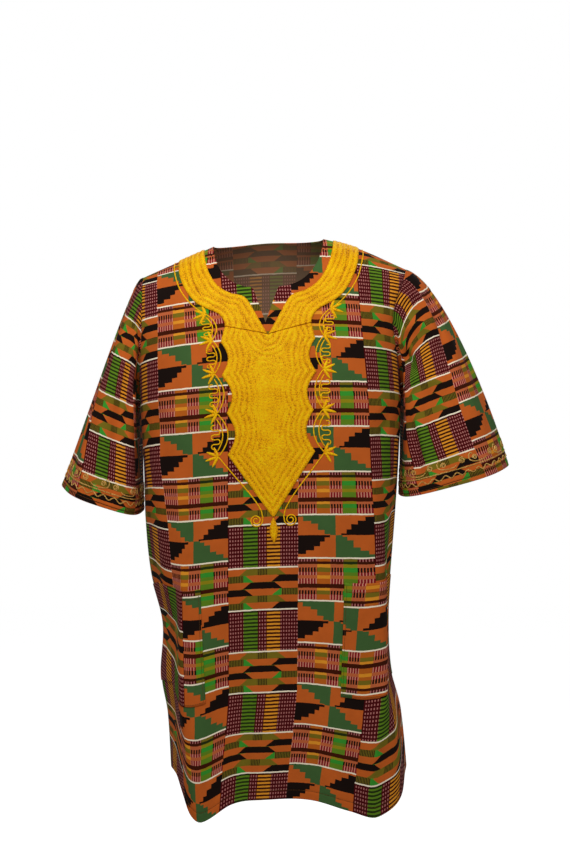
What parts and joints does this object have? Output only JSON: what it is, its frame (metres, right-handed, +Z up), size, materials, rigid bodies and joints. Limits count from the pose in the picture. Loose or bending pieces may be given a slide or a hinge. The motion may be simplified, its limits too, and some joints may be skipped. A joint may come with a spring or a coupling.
{
  "type": "dashiki shirt",
  "caption": "Loose short-sleeved cotton tunic in a woven-strip print, with a notched round neck, a raised embroidered chest panel and patch pockets, held in its worn shape.",
  "frame": {"origin": "middle of the neck opening at shoulder height, where the wearer's shoulders carry the shirt", "axes": "+Z up along the wearer's back, -Y out of the front of the shirt, +X towards the viewer's right, which is the wearer's left"},
  "size_m": [0.7395, 0.2725, 0.9345],
  "materials": {
    "cloth": "matt printed cotton",
    "thread": "satin embroidery thread"
  },
  "bodies": {
    "root": {"front": "cloth", "back": "cloth", "sleeve_left": "cloth", "sleeve_right": "cloth", "pocket_left": "cloth", "pocket_right": "cloth", "yoke_left": "thread", "yoke_right": "thread", "placket": "thread", "drop": "thread"}
  },
  "joints": []
}
